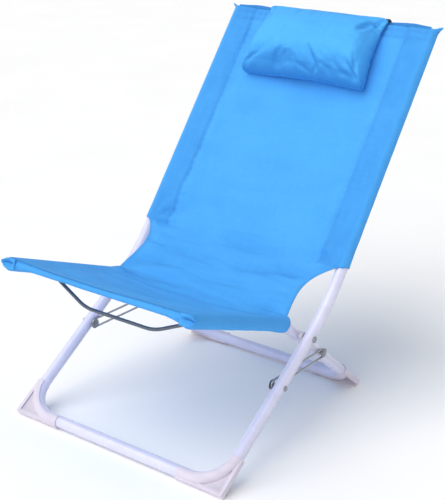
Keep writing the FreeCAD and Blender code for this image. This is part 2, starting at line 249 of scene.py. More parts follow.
def plastic(name, colour, grain=1500.0):
    """Moulded plastic with a fine spark grain, faint flow marks and painted shade that darkens
    its hollows.
    """
    m = Shader(name)
    where = m.add("TexCoord", OBJECT_COORDS)
    spark = m.noise(where, grain, 2.0)
    flow = m.noise(m.scaled(where, (30, 30, 90)), 1.0, 4.0)
    # painted shade: darker in the hollows, where the pointiness is low
    hollow_shade = m.ramp(m.add("NewGeometry", POINTINESS), 0.5, 0.0, 0.42, 0.5)
    base = m.mix(m.ramp(flow, 0.0, 1.0, 0.35, 0.65), colour, darker(colour, 0.93))
    base = m.mix(hollow_shade, base, darker(colour, 0.62))
    return m.set(Base_Color=base, Roughness=m.ramp(flow, 0.40, 0.52, 0.35, 0.65),
                 Normal=m.bump(spark, 0.00008, 0.6), Subsurface_Weight=0.04,
                 Subsurface_Radius=(0.004, 0.003, 0.003))


def steel(name, colour, rough):
    """Drawn steel: fine scratches, a mottled oxide film and duller, brown spots."""
    m = Shader(name)
    where = m.add("TexCoord", OBJECT_COORDS)
    draw = m.noise(m.scaled(where, (60, 1400, 1400)), 1.0, 3.0)
    mottle = m.noise(where, 210.0, 4.0, 0.65)
    spot = m.ramp(m.noise(where, 95.0, 5.0, 0.7), 0.0, 0.25, 0.60, 0.70)
    base = m.mix(m.ramp(mottle, 0.0, 1.0, 0.35, 0.7), colour, darker(colour, 0.66))
    base = m.mix(spot, base, (0.20, 0.15, 0.12))
    scratched = m.ramp(draw, rough - 0.07, rough + 0.10, 0.3, 0.7)
    return m.set(Base_Color=base, Metallic=0.9, Normal=m.bump(draw, 0.00004, 0.6),
                 Roughness=m.math("ADD", scratched, m.math("MULTIPLY", spot, 0.4)))


sling_cloth = fabric("sling_cloth", (0.086, 0.425, 0.935), (0.050, 0.315, 0.780))
pillow_cloth = fabric("pillow_cloth", (0.092, 0.465, 0.975), (0.054, 0.345, 0.830))
sewing = thread("sewing_thread", (0.095, 0.44, 0.95))
webbing = thread("black_webbing", (0.012, 0.012, 0.016))
FINISHES = {
    "white_paint": paint("white_powder_coat", (0.665, 0.665, 0.855), (0.40, 0.41, 0.45)),
    "white_plastic": plastic("white_moulding", (0.66, 0.61, 0.71)),
    "nylon": plastic("natural_nylon", (0.58, 0.58, 0.66), 2200.0),
    "dark_steel": steel("dark_rod", (0.16, 0.18, 0.22), 0.34),
    "wire_steel": steel("dull_wire", (0.46, 0.48, 0.53), 0.36),
    "rivet_steel": steel("zinc_rivet", (0.34, 0.35, 0.38), 0.34),
}
for part in frame["record"]["subparts"]:
    if part["material_slot"] in FINISHES:
        for slot in nodes[part["node"]].material_slots:
            slot.material = FINISHES[part["material_slot"]]


# Mesh helpers -------------------------------------------------------------------------------

STITCH_FACES = ((0, 1, 4), (1, 5, 4), (1, 2, 5), (2, 3, 5), (3, 4, 5), (3, 0, 4))


def new_piece(name, points, faces, material):
    """A smooth-shaded mesh object from points in metres."""
    mesh = bpy.data.meshes.new(name)
    mesh.from_pydata(points, [], faces)
    mesh.polygons.foreach_set("use_smooth", [True] * len(mesh.polygons))
    mesh.materials.append(material)
    piece = bpy.data.objects.new(name, mesh)
    scene.collection.objects.link(piece)
    return piece


def bake(piece):
    """Replaces a piece's mesh by what its modifiers make of it."""
    graph = bpy.context.evaluated_depsgraph_get()
    made = bpy.data.meshes.new_from_object(piece.evaluated_get(graph),
                                           preserve_all_data_layers=True, depsgraph=graph)
    piece.modifiers.clear()
    piece.data = made


class Cloth:
    """Collects the points, faces, UVs and painted shade of one piece of cloth."""

    def __init__(self):
        self.points, self.uvs, self.fold, self.faces = [], [], [], []

    def point(self, xyz, uv, fold=0.0):
        """Adds a point in metres, with its place in the flat cloth in millimetres."""
        self.points.append(xyz)
        self.uvs.append((uv[0] * MM, uv[1] * MM))
        self.fold.append(fold)
        return len(self.points) - 1

    def grid(self, lines, flip=False):
        for first, second in zip(lines, lines[1:]):
            for j in range(min(len(first), len(second)) - 1):
                face = (first[j], first[j + 1], second[j + 1], second[j])
                self.faces.append(face[::-1] if flip else face)

    def build(self, name, material, thickness=0.0):
        piece = new_piece(name, self.points, self.faces, material)
        layer = piece.data.uv_layers.new(name="cloth")
        for loop in piece.data.loops:
            layer.data[loop.index].uv = self.uvs[loop.vertex_index]
        values = piece.data.attributes.new("fold", "FLOAT", "POINT")
        values.data.foreach_set("value", np.array(self.fold, np.float32))
        if thickness:
            solid = piece.modifiers.new("thickness", "SOLIDIFY")
            solid.thickness, solid.offset = thickness * MM, 0.0
            solid.use_even_offset = False
            bake(piece)
        return piece


def spaced(points, gap):
    """Points a fixed gap apart along a polyline of x, y, z."""
    points = np.array(points, float)
    steps = np.linalg.norm(np.diff(points, axis=0), axis=1)
    travelled = np.concatenate([[0], np.cumsum(steps)])
    wanted = np.arange(gap / 2, travelled[-1], gap)
    return np.stack([np.interp(wanted, travelled, points[:, k]) for k in range(3)], axis=1)


def stitches(name, lines, material, length=2.5, gap=3.6, width=0.42, rise=0.45):
    """Small raised lens-shaped stitches along lines. A line is its points and its normals."""
    points, faces = [], []
    for line, lift in lines:
        along = spaced(line, gap * MM)
        if len(along) < 3:
            continue
        ahead = np.gradient(along, axis=0)
        ahead /= np.linalg.norm(ahead, axis=1)[:, None]
        lift = np.atleast_2d(np.array(lift, float))
        picks = (np.arange(len(along)) * len(lift) // len(along)).clip(0, len(lift) - 1)
        for centre, forward, raised in zip(along, ahead, lift[picks]):
            sideways = np.cross(raised, forward)
            sideways /= np.linalg.norm(sideways)
            half, w = forward * length / 2 * MM, sideways * width * MM
            top = raised * rise * MM
            k = len(points)
            points += [centre - half, centre + w, centre + half, centre - w,
                       centre - half * 0.5 + top, centre + half * 0.5 + top]
            faces += [tuple(k + corner for corner in face) for face in STITCH_FACES]
    return new_piece(name, [tuple(p) for p in points], faces, material)


# The sling ----------------------------------------------------------------------------------

TOP = 12.2                     # middle of the cloth above a tube's centre, where it passes over
SEAT_ROWS = (289.0, -6.0)      # along the seat, from the front crease to the end of the sleeves
BACK_ROWS = (80.0, 586.5)      # along the back, from the end of the sleeves to the top
SEAM = 49.0                    # from a tube's centre to its sleeve's seam
STEP = 4.0                     # from row to row of the cloth
COLUMNS = 111
CUT_DEPTH = 25.0               # the cut-outs beside the lap
SEAT_LIFT = 3.0                # where the cloth leaves the seat tubes towards the lap
HEMS = (577.0, 563.0)          # the sewn lines of the top hem, along the back


def evenly(first, last):
    """Values from first to last, about one step apart."""
    count = int(abs(last - first) / STEP)
    return [first + (last - first) * i / count for i in range(count + 1)]


def edge_line():
    """Rows of cloth from the front of the seat to the top of the back, at the cloth's edges.

    A row is its zone, its place in the zone, y and z, and half the width of the cloth.
    """
    found = []
    for s in evenly(*SEAT_ROWS):
        lift = SEAT_LIFT * smooth((22 - s) / 28)
        found.append(("seat", s, at(SEAT, s, TOP + lift), SEAT_HALF))
    start, end = found[-1][2], at(BACK, BACK_ROWS[0], TOP)
    count = int(np.linalg.norm(end - start) / STEP)
    for i in range(1, count):
        t = i / count
        rise = np.array([0.0, 6.0]) * (3.0 * t * (1 - t) ** 2)
        notch = CUT_DEPTH * math.sin(math.pi * t ** 1.3) ** 0.8
        half = SEAT_HALF + (BACK_HALF - SEAT_HALF) * t - notch
        found.append(("free", t, start + (end - start) * t + rise, half))
    for s in evenly(*BACK_ROWS):
        found.append(("back", s, at(BACK, s, TOP), BACK_HALF))
    return found


rows = edge_line()
edge = np.array([row[2] for row in rows])
run = np.concatenate([[0], np.cumsum(np.linalg.norm(np.diff(edge, axis=0), axis=1))])
TOTAL = run[-1]
FREE_FROM = next(i for i, row in enumerate(rows) if row[0] == "free")
FREE_TO = next(i for i, row in enumerate(rows) if row[0] == "back")


def relaxed(line, width):
    """The same line, rounded off over a width in millimetres, with straight ends kept."""
    pad = 60
    before = [line[0] + (line[0] - line[1]) * k for k in range(pad, 0, -1)]
    after = [line[-1] + (line[-1] - line[-2]) * k for k in range(1, pad + 1)]
    longer = np.vstack([before, line, after])
    reach = np.arange(-pad, pad + 1) * STEP
    weight = np.exp(-0.5 * (reach / width) ** 2)
    weight /= weight.sum()
    return np.stack([np.convolve(longer[:, k], weight, "same")[pad:-pad] for k in (0, 1)],
                    axis=1)


# The cloth's middle turns more gently than its edges, and sags between the tubes.
middle = relaxed(edge, 42.0)
tangent = np.gradient(middle, axis=0)
tangent /= np.linalg.norm(tangent, axis=1)[:, None]
outward = np.stack([-tangent[:, 1], tangent[:, 0]], axis=1)
SAG_AT = (0, 40, 130, 290, 360, 430, 560, 800, TOTAL - 40, TOTAL)
SAG = (5.5, 9.0, 13.0, 14.0, 9.0, 10.0, 14.0, 13.0, 8.0, 6.0)
sag = relaxed(np.stack([np.interp(run, SAG_AT, SAG)] * 2, axis=1), 25.0)[:, 0]

# Where the cloth pulls at the ends of the sleeves: along the cloth, across it, and how much
PULLS = ((run[FREE_TO] + 6, 214, 4.2), (run[FREE_FROM] - 4, 196, 3.6))


def sewn_ripple(along, seed, distance, size, width):
    """Small puckers beside a sewn line."""
    return size * math.sin(along + seed) * near(distance, width)


def crease(x, v, i):
    """How far the cloth stands off its smooth shape, in millimetres. v is along the cloth."""
    zone, s, _, half = rows[i]
    side = 1 if x > 0 else -1
    off = 4.0 * wave(x / 170, v / 45, 3.1) + 1.8 * wave(x / 70, v / 24, 8.4)
    long_folds = 10.0 * wave(x / 130 + v / 160, v / 26 - x / 170, 2.2)
    short_folds = 3.4 * wave(x / 60 - v / 120, v / 14 + x / 140, 6.6)
    off += near(v - run[FREE_FROM] - 60, 120) * (long_folds + short_folds)
    for v0, x0, size in PULLS:
        across, along = x0 - abs(x), v - v0
        distance = math.hypot(across, along)
        fan = math.cos(math.atan2(along, across + 8) * 7 + 1.1 * side + v0)
        fan *= math.exp(-distance / 62)
        off += size * fan * smooth(distance / 16)
    if zone == "back":
        seam = abs(abs(x) - (BACK_HALF - SEAM))
        off -= 1.3 * near(seam, 3.6)
        off += sewn_ripple(v / 2.5, 4 * wave(v / 40, side, 1.7), seam, 1.1, 9)
        off += 2.2 * wave(x / 13, v / 80, 5.5) * near(seam, 34)
        off += 1.8 * smooth((abs(x) - BACK_HALF + SEAM) / 14)
        for hem_s in HEMS:
            hem = abs(s - hem_s)
            off -= 1.4 * near(hem, 2.8)
            off += sewn_ripple(x / 2.4, 2 * wave(x / 30, hem_s, 4), hem, 0.9, 6)
    if zone == "seat":
        seam = abs(abs(x) - (SEAT_HALF - SEAM))
        off -= 1.0 * near(seam, 2.4)
        off += sewn_ripple(v / 2.3, 4 * wave(v / 40, side, 9), seam, 0.6, 8)
    return off * (1 - (abs(x) / half) ** 10)


def panel_point(i, u):
    """x, y and z of the cloth at row i, where u goes from -1 to 1 across it."""
    x = u * rows[i][3]
    hang = 1 - u * u
    base = edge[i] + (middle[i] - edge[i]) * hang
    return x, base + outward[i] * (crease(x, run[i], i) - sag[i] * hang)


def painted_cloth_shade(i, x):
    """Painted shade: darker where the cloth is double and less light shines through it, at the
    lap, in the valleys of its creases, at the edges of the cut-outs, and along its seams and
    hems.
    """
    zone, s, _, half = rows[i]
    inset = half - abs(x)
    lap = near(run[i] - run[FREE_FROM] - 40, 90)
    valley = 0.05 * lap + 0.022 * max(0.0, -crease(x, run[i], i))
    if zone == "free":
        return valley + 0.16 * smooth((5 - inset) / 2)
    sewn = 0.20 if zone == "back" else 0.08
    dark = sewn * smooth((SEAM + 1 - inset) / 3)
    dark += 0.04 * near(SEAM - inset, 3.0)
    dark += 0.05 * wave(x / 12, run[i] / 30, 4.4) * smooth((SEAM - inset) / 4)
    if zone == "back":
        dark = max(dark, 0.10 * smooth((s - 561) / 3)) + 0.10 * near(s - HEMS[1], 3)
        dark += 0.10 * near(s - HEMS[0], 3)
    return valley + max(dark, 0.0)


ACROSS = [-1 + 2 * j / (COLUMNS - 1) for j in range(COLUMNS)]
sling = Cloth()
panel = []
for i in range(len(rows)):
    line = []
    for u in ACROSS:
        x, yz = panel_point(i, u)
        line.append(sling.point(place(x, yz), (x, run[i]), painted_cloth_shade(i, x)))
    panel.append(line)
sling.grid(panel)


# Sleeves: each goes round its tube, then lies under the panel up to its seam.

SLEEVE_ARC = 17                # steps round the tube
SLEEVE_LAYER = 6               # steps from the tube to the seam
AROUND_TUBE = 41.0             # length of cloth round the tube
# painted shade on the sleeve round its tube and, darker, where it lies under the panel
SHADE_ROUND, SHADE_UNDER = 0.12, 0.25
PINCH_LENGTH = 11.0            # the sleeve flattens over this length beyond the tube's end
PINCH_WIDER, PINCH_THINNER, PINCH_LIFT = 0.75, 0.78, 3.0
END_SLANT = 7.5                # how far the end beside the cut-out slants, under the tube


def ring(side, half, angle, flat, droop, row_n):
    """x and n of a point round the tube: angle 90 is over it, 0 outboard, -90 under it."""
    across = TOP * (1 + PINCH_WIDER * flat) * math.cos(math.radians(angle))
    n = TOP * (1 - PINCH_THINNER * flat) * math.sin(math.radians(angle)) + PINCH_LIFT * flat
    across += 0.5 * droop * near(angle, 50)
    if angle < 10:
        n -= droop * smooth((10 - angle) / 70)
    if angle > 0:
        n += (row_n - TOP) * smooth(angle / 90) * (1 - flat)
    return side * (half + across), n


def under_panel(frame_side, index_of):
    """A function that gives how high the lower layer may lie under the panel."""
    def height(s, x):
        i = index_of(s)
        heights = []
        for beside in (-4.0, 0.0, 4.0):
            for step in (-1, 0, 1):
                k = min(max(i + step, 0), len(rows) - 1)
                yz = panel_point(k, (x + beside) / rows[i][3])[1]
                heights.append(height_over(frame_side, yz))
        return min(heights) - 1.0
    return height


def seat_index(s):
    share = (SEAT_ROWS[0] - s) / (SEAT_ROWS[0] - SEAT_ROWS[1])
    return int(np.clip(round(share * (FREE_FROM - 1)), 0, FREE_FROM - 1))


def back_index(s):
    share = (s - BACK_ROWS[0]) / (BACK_ROWS[1] - BACK_ROWS[0])
    last = len(rows) - 1
    return int(np.clip(FREE_TO + round(share * (last - FREE_TO)), FREE_TO, last))


def sleeve(side, frame_side, half, spans, tube_end, cut_share, ceiling, droop):
    """One sleeve. spans: (s, panel row, or None beyond the panel) along the tube.

    cut_share(s) goes from 0 to 1 at the cut-out, where the sleeve droops and slants.
    """
    grid = []
    for s, i in spans:
        flat = smooth((s - tube_end) / PINCH_LENGTH)
        near_cut = cut_share(s)
        on_panel = panel[i][-1 if side > 0 else 0] if i is not None else None
        row_n = TOP
        v = TOTAL + s - 589 if frame_side is BACK else 289 - s
        if on_panel is not None:
            row_n = height_over(frame_side, np.array(sling.points[on_panel][1:]) / MM)
            v = run[i]
        line = []
        for k in range(SLEEVE_ARC + 1):
            if k == 0 and on_panel is not None:
                line.append(on_panel)
                continue
            angle = 90 - 190 * k / SLEEVE_ARC
            slant = near_cut * END_SLANT * smooth((90 - angle) / 120)
            if i is None and frame_side is BACK:
                reach = min(1.0, math.cos(math.radians(angle)) * 0.95)
                slant -= (s - 587.5) * (1 - 0.9 * max(reach, 0.0))
            wobble = 0.5 * wave(s / 26, k / 2.5, side * 3.3) * min(k / 4, 1)
            x, n = ring(side, half, angle, flat, droop * near_cut + wobble, row_n)
            u = side * (half + math.radians(90 - angle) * TOP)
            line.append(sling.point(place(x, at(frame_side, s + slant, n)), (u, v),
                                    SHADE_ROUND))
        under_tube = sling.points[line[-1]]
        x0, yz0 = abs(under_tube[0]) / MM, np.array(under_tube[1:]) / MM
        x1 = half - SEAM
        inner_s = min(s, SEAT_ROWS[0] if frame_side is SEAT else BACK_ROWS[1])
        yz1 = at(frame_side, inner_s, ceiling(inner_s, side * x1))
        for k in range(1, SLEEVE_LAYER + 1):
            t = k / SLEEVE_LAYER
            yz = yz0 + (yz1 - yz0) * t - frame_side[2] * 2.0 * math.sin(math.pi * t)
            x = side * (x0 + (x1 - x0) * t)
            limit = ceiling(inner_s, x) if abs(x) < half - 6 else TOP
            yz = yz - frame_side[2] * max(height_over(frame_side, yz) - limit, 0.0)
            line.append(sling.point(place(x, yz), (side * (half + AROUND_TUBE + SEAM * t), v),
                                    SHADE_UNDER))
        grid.append(line)
    sling.grid(grid, flip=side < 0)


SEAT_LIPS = (298.0, 296.5, 294.5, 292.0)   # cloth beyond the tube ends, pinched flat
BACK_LIPS = (591.5, 594.0, 596.5, 599.0)
for side in (-1, 1):
    spans = [(s, None) for s in SEAT_LIPS] + [(rows[i][1], i) for i in range(FREE_FROM)]
    sleeve(side, SEAT, SEAT_HALF, spans, 291.0, lambda s: smooth((55 - s) / 55),
           under_panel(SEAT, seat_index), 2.6)
    spans = [(rows[i][1], i) for i in range(FREE_TO, len(rows))]
    spans += [(s, None) for s in BACK_LIPS]
    sleeve(side, BACK, BACK_HALF, spans, 586.0, lambda s: smooth((120 - s) / 40),
           under_panel(BACK, back_index), 1.0)


def front_hem():
    """The cloth turned under at the front of the seat: a soft roll below the crease."""
    # forward of the crease, share of the way down, painted shade
    profile = ((1.6, 0.03, 0.6), (2.2, 0.10, 0.5), (4.2, 0.30, 0.16), (5.0, 0.55, 0.14),
               (4.2, 0.80, 0.16), (1.5, 0.97, 0.25), (-4.0, 1.0, 0.3), (-14.0, 0.90, 0.3),
               (-24.0, 0.42, 0.4))
    grid = [panel[0]]
    for forward, share, fold in profile:
        line = []
        for u in ACROSS:
            x, yz = panel_point(0, u)
            crease_n = height_over(SEAT, yz)
            low_n = -3.8 - 5.0 * smooth((abs(x) - 150) / 45) + 0.7 * wave(x / 45, 2, 1)
            if share < 0.05:
                line.append(sling.point(place(x, at(SEAT, 289 + forward, crease_n - 1.2)),
                                        (x, -3), fold))
                continue
            n = crease_n - (crease_n - low_n) * share
            ripple = 0.5 * wave(x / 14, share * 3, 6)
            line.append(sling.point(place(x, at(SEAT, 289 + forward + ripple, n)),
                                    (x, -4 - 12 * share), fold))
        grid.append(line)
    sling.grid(grid[::-1])


edge_n = (edge - BACK[0]) @ BACK[2]
middle_n = (middle - BACK[0]) @ BACK[2] - sag


def rest_height(x, s):
    """Height of the sling's face in the back's plane, without its creases."""
    i = back_index(s)
    hang = 1 - min(1, (x / BACK_HALF) ** 2)
    return edge_n[i] + (middle_n[i] - edge_n[i]) * hang


def top_hem():
    """The rear layer of the top hem, which stands a little higher than the front layer."""
    # along the back, behind the front layer, painted shade, share of the rise
    profile = ((556, 3.0, 0.3, 0), (562, 4.4, 0.4, 0), (570, 4.8, 0.5, 0), (578, 5.4, 0.5, 0),
               (584, 6.4, 0.5, 0.2), (588, 7.0, 0.5, 0.5), (590.5, 6.8, 0.42, 1.0),
               (591.0, 8.0, 0.15, 1.06), (588, 9.0, 0.0, 0.6), (575, 8.4, 0, 0),
               (562, 7.0, 0, 0), (552, 4.0, 0, 0))
    grid = []
    for s, behind, fold, rise in profile:
        line = []
        for u in ACROSS:
            x = u * BACK_HALF
            bow = smooth((246 - abs(x)) / 60) * (0.65 + 0.35 * smooth((abs(x) - 120) / 60))
            drop = behind * (0.35 + 0.65 * smooth((236 - abs(x)) / 36))
            n = rest_height(x, min(s, BACK_ROWS[1])) - drop
            line.append(sling.point(place(x, at(BACK, s + 7.5 * rise * bow, n)),
                                    (x, TOTAL + 8 * rise - behind), fold))
        grid.append(line)
    sling.grid(grid)


def mouth(side, frame_side, half, s, flat):
    """Cloth folded inwards that closes the pinched end of a sleeve, just behind its lips."""
    inboard, outboard = -14.0, 14.0
    width_steps, depth_steps = 8, 12
    grid = []
    for k in range(width_steps + 1):
        across = inboard + (outboard - inboard) * k / width_steps
        reach = max(0.0, 1 - (max(across, 0.0) / 15.5) ** 2) ** 0.5
        line = []
        for r in range(depth_steps + 1):
            t = r / depth_steps
            n = (10.6 - 20.6 * t) * (1 - 0.25 * flat) * reach + 0.6
            dent = 2.6 * near(t - 0.40, 0.12) * smooth((across + 16) / 12)
            # painted shade inside the mouth, darkest in its dent
            line.append(sling.point(place(side * (half + across), at(frame_side, s - dent, n)),
                                    (half + across, 300 + 22 * t), 0.1 + 0.25 * dent))
        grid.append(line)
    sling.grid(grid, flip=side < 0)


front_hem()
top_hem()
for side in (-1, 1):
    mouth(side, SEAT, SEAT_HALF, 296.2, 0.0)
    mouth(side, BACK, BACK_HALF, 588.4, 0.3)
sling_piece = sling.build("sling", sling_cloth, 0.8)


# Sewn lines on the sling

def sewn_along(indices, x_of):
    """A line of stitches down the cloth: its points just above the cloth, and its normals."""
    line = []
    for i in indices:
        x, yz = panel_point(i, x_of(i) / rows[i][3])
        line.append(place(x, yz + outward[i] * 0.70))
    return line, [(0, outward[i][0], outward[i][1]) for i in indices]


def sewn_across(i, half, count):
    """A line of stitches across the cloth at row i."""
    line = []
    for x in np.linspace(-half, half, count):
        px, yz = panel_point(i, x / rows[i][3])
        line.append(place(px, yz + outward[i] * 0.70))
    return line, [(0, outward[i][0], outward[i][1])]


seams = []
back_rows = range(FREE_TO, len(rows))
seat_rows = range(FREE_FROM)
cut_rows = range(FREE_FROM - 2, FREE_TO + 2)
for side in (-1, 1):
    for inset in (0.0, 5.0):
        seams.append(sewn_along(back_rows, lambda i: side * (BACK_HALF - SEAM + inset)))
    seams.append(sewn_along(seat_rows, lambda i: side * (SEAT_HALF - SEAM)))
    seams.append(sewn_along(cut_rows, lambda i: side * (rows[i][3] - 7.0)))
for s in HEMS:
    seams.append(sewn_across(back_index(s), 222, 120))
seams.append(sewn_across(seat_index(283.0), 192, 100))
stitch_piece = stitches("sling_stitches", seams, sewing)

for piece in (sling_piece, stitch_piece):
    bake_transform(piece)
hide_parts("sling_back", "sling_seat")


# The head pillow ----------------------------------------------------------------------------

PILLOW_HALF = 139.0            # half its width
PILLOW_SHIFT = -2.0            # its middle, across the chair
PILLOW_S = (439.0, 594.0)      # its lower and upper ends along the back
PILLOW_TOP_THICK = 9.0
PILLOW_THICK = 46.0
COUNTS = (62, 36, 8)           # steps across, up and outwards
FILL_CAP = 24.0                # how far the filling may move the cover
FILL_FRAMES = 22               # frames the filling takes to settle


def box_cloth(counts):
    """A closed box of cloth with seams on its edges.

    Returns the points as fractions across, up and outwards, the faces, and the number of the
    point at each set of steps across, up and outwards.
    """
    nx, ns, nn = counts
    index, points, faces = {}, [], []

    def vertex(a, b, c):
        if (a, b, c) not in index:
            index[a, b, c] = len(points)
            points.append((a / nx, b / ns, c / nn))
        return index[a, b, c]

    def wall(first, second, corner, turn):
        for p in range(first):
            for q in range(second):
                quad = [vertex(*corner(p + dp, q + dq)) for dp, dq in
                        ((0, 0), (1, 0), (1, 1), (0, 1))]
                faces.append(tuple(quad[::-1] if turn else quad))

    for end in (0, 1):
        wall(nx, ns, lambda p, q: (p, q, end * nn), end == 0)
        wall(nx, nn, lambda p, q: (p, end * ns, q), end == 1)
        wall(ns, nn, lambda p, q: (end * nx, p, q), end == 0)
    return points, faces, index


def rounded(p, q, radius_p, radius_q):
    """Pulls a point on a box's edge, measured in from the corner, onto a round of that radius."""
    if p < radius_p and q < radius_q:
        d = np.array([1 - p / radius_p, 1 - q / radius_q])
        d /= max(np.linalg.norm(d) / d.max(), 1e-9)
        return (1 - d[0]) * radius_p, (1 - d[1]) * radius_q
    return p, q


def unfilled(a, b, c):
    """x, s and n of a point of the empty cover, from fractions across, up and outwards."""
    x = (2 * a - 1) * PILLOW_HALF
    s = PILLOW_S[0] + (PILLOW_S[1] - PILLOW_S[0]) * b
    thick = PILLOW_TOP_THICK + (PILLOW_THICK - PILLOW_TOP_THICK) * smooth((1 - b) / 0.70)
    out = thick * c
    up, down = rounded(s - PILLOW_S[0], thick - out, 50, 36)
    s, out = PILLOW_S[0] + up, thick - down
    inset, down = rounded(PILLOW_HALF - abs(x), thick - out, 24, 0.62 * thick)
    x, out = math.copysign(PILLOW_HALF - inset, x), thick - down
    rear = rest_height(x, s) + 2.5
    return x + PILLOW_SHIFT, s, rear * (1 - c) + c * 12 + out


shape, quads, index = box_cloth(COUNTS)
pillow = Cloth()
for a, b, c in shape:
    x, s, n = unfilled(a, b, c)
    flat_x = x + (n if a in (0, 1) else 0)
    flat_s = s + (n if b in (0, 1) else 0)
    pillow.point(place(x, at(BACK, s, n)), (flat_x, flat_s))
pillow.faces = quads
pillow_piece = pillow.build("head_pillow_cover", pillow_cloth)


def inflate(piece, cap):
    """Fills the cover with air pressure and keeps the result, moving no point beyond cap."""
    start = np.array([v.co for v in piece.data.vertices])
    held = piece.vertex_groups.new(name="held")
    top_edge = [k for steps, k in index.items() if steps[1] == COUNTS[1]]
    held.add(top_edge, 1.0, "REPLACE")
    cloth = piece.modifiers.new("fill", "CLOTH")
    settings = cloth.settings
    settings.quality = 8
    settings.mass = 0.15
    settings.tension_stiffness = 16
    settings.compression_stiffness = 16
    settings.shear_stiffness = 6
    settings.bending_stiffness = 0.06
    settings.use_pressure = True
    settings.uniform_pressure_force = 6.0
    settings.shrink_min = -0.04
    settings.vertex_group_mass = "held"
    settings.effector_weights.gravity = 0
    cloth.collision_settings.use_collision = False
    for count in range(1, FILL_FRAMES + 1):
        scene.frame_set(count)
    graph = bpy.context.evaluated_depsgraph_get()
    filled = np.array([v.co for v in piece.evaluated_get(graph).data.vertices])
    piece.modifiers.clear()
    scene.frame_set(1)
    step = filled - start
    far = np.linalg.norm(step, axis=1)
    step *= np.minimum(1, cap * MM / np.maximum(far, 1e-9))[:, None]
    for vertex, co in zip(piece.data.vertices, start + step):
        vertex.co = co


def local(co):
    """x, s and n of a point in metres, relative to the back."""
    d = np.array([co[1], co[2]]) / MM - BACK[0]
    return co[0] / MM, float(d @ BACK[1]), float(d @ BACK[2])


def tailored(piece):
    """Lets the sides pull in between the corners by no more than the sewn cover allows."""
    where = {key: list(local(piece.data.vertices[k].co)) for key, k in index.items()}
    nx, ns, nn = COUNTS
    for axis, count, pull in ((0, nx, 4.0), (1, ns, 3.0)):
        for (a, b, c), point in where.items():
            if (a, b)[axis] not in (0, count):
                continue
            along = (b / ns, a / nx)[axis]
            end = 1 if (a, b)[axis] else -1
            if axis == 1 and end == 1:
                continue
            wanted = unfilled(a / nx, b / ns, c / nn)[axis]
            wanted -= end * pull * math.sin(math.pi * along)
            wanted -= 5.0 * along if (axis, end) == (0, 1) else 0.0
            wanted += end * 5.0 * math.sin(math.pi * (c / nn) ** 0.6)
            shift = wanted - point[axis]
            for k in range(count + 1):
                key = (k, b, c) if axis == 0 else (a, k, c)
                if key in where and key != (a, b, c):
                    nearness = 1 - abs(k - (a, b)[axis]) / count
                    where[key][axis] += shift * smooth(nearness * 1.6 - 0.6)
            point[axis] = wanted
    for key, k in index.items():
        x, s, n = where[key]
        piece.data.vertices[k].co = place(x, at(BACK, s, n))


def seam_loop(c):
    """Indices of the seam up both sides and across the bottom of the pillow, c steps out."""
    nx, ns, _ = COUNTS
    sides = [[index[a, b, c] for b in range(ns + 1)] for a in (0, nx)]
    return sides + [[index[a, 0, c] for a in range(nx + 1)]]


def smoothed(piece, lines):
    """Subdivides the cover once, and keeps its sewn edges crisper than the rest."""
    sewn = {frozenset(pair) for line in lines for pair in zip(line, line[1:])}
    crisp = piece.data.attributes.new("crease_edge", "FLOAT", "EDGE")
    crisp.data.foreach_set("value", [0.5 if frozenset(e.vertices) in sewn else 0.0
                                     for e in piece.data.edges])
    subdivide = piece.modifiers.new("smooth", "SUBSURF")
    subdivide.levels = 1
    subdivide.render_levels = 1
    bake(piece)


# Folds in the front face: from and to in x and s, width, depth
FOLDS = (
    ((16, 490), (42, 452), 4.0, 4.6), ((24, 496), (52, 452), 7.0, -2.0),
    ((-6, 456), (32, 441), 4.0, 3.4), ((42, 456), (32, 442), 4.0, 2.4),
    ((128, 584), (104, 552), 6.5, 4.4), ((132, 572), (114, 550), 5.0, -2.0),
    ((122, 592), (96, 570), 6.0, -1.6),
    ((130, 447), (104, 474), 4.5, 3.2), ((130, 449), (118, 492), 4.5, 3.0),
    ((130, 446), (88, 452), 4.5, 2.6), ((128, 452), (112, 480), 4.0, -1.6),
    ((-134, 449), (-104, 464), 5.0, 3.0), ((-134, 586), (-108, 556), 5.5, 2.6),
    ((60, 592), (50, 556), 8.0, 1.6), ((-52, 592), (-44, 560), 8.0, 1.6),
    ((-64, 444), (-48, 474), 7.0, 2.0), ((72, 443), (62, 472), 6.0, 2.0),
)


def fold_at(x, s, start, end, width):
    """1 at the middle of the line from start to end on the front face, fading over a width."""
    run_x, run_s = end[0] - start[0], end[1] - start[1]
    t = ((x - start[0]) * run_x + (s - start[1]) * run_s) / (run_x ** 2 + run_s ** 2)
    t = min(max(t, 0), 1)
    gap = math.hypot(x - start[0] - run_x * t, s - start[1] - run_s * t)
    return near(gap, width) * (0.35 + 0.65 * math.sin(math.pi * t))


def cover_relief(x, s, n, gap, face):
    """How far the cover stands off its smooth shape, in millimetres.

    gap is the distance from the nearest seam, face how squarely the cover faces the sitter.
    """
    off = 0.0
    tuck = near(gap, 3.0)
    gather = near(gap, 11)
    pucker = math.sin((x + s) / 2.6 + 3 * wave(x / 40, s / 40, 3)) * gather
    off += -1.7 * tuck + 0.8 * pucker * (1 - tuck) + 0.7 * wave(x / 34, s / 26, 2 + n / 60)
    off += 0.3 * wave(x / 12, s / 12, 5 + n / 20)
    for start, end, width, depth in FOLDS:
        off -= depth * fold_at(x, s, start, end, width) * smooth(face * 1.6 - 0.2)
    return off


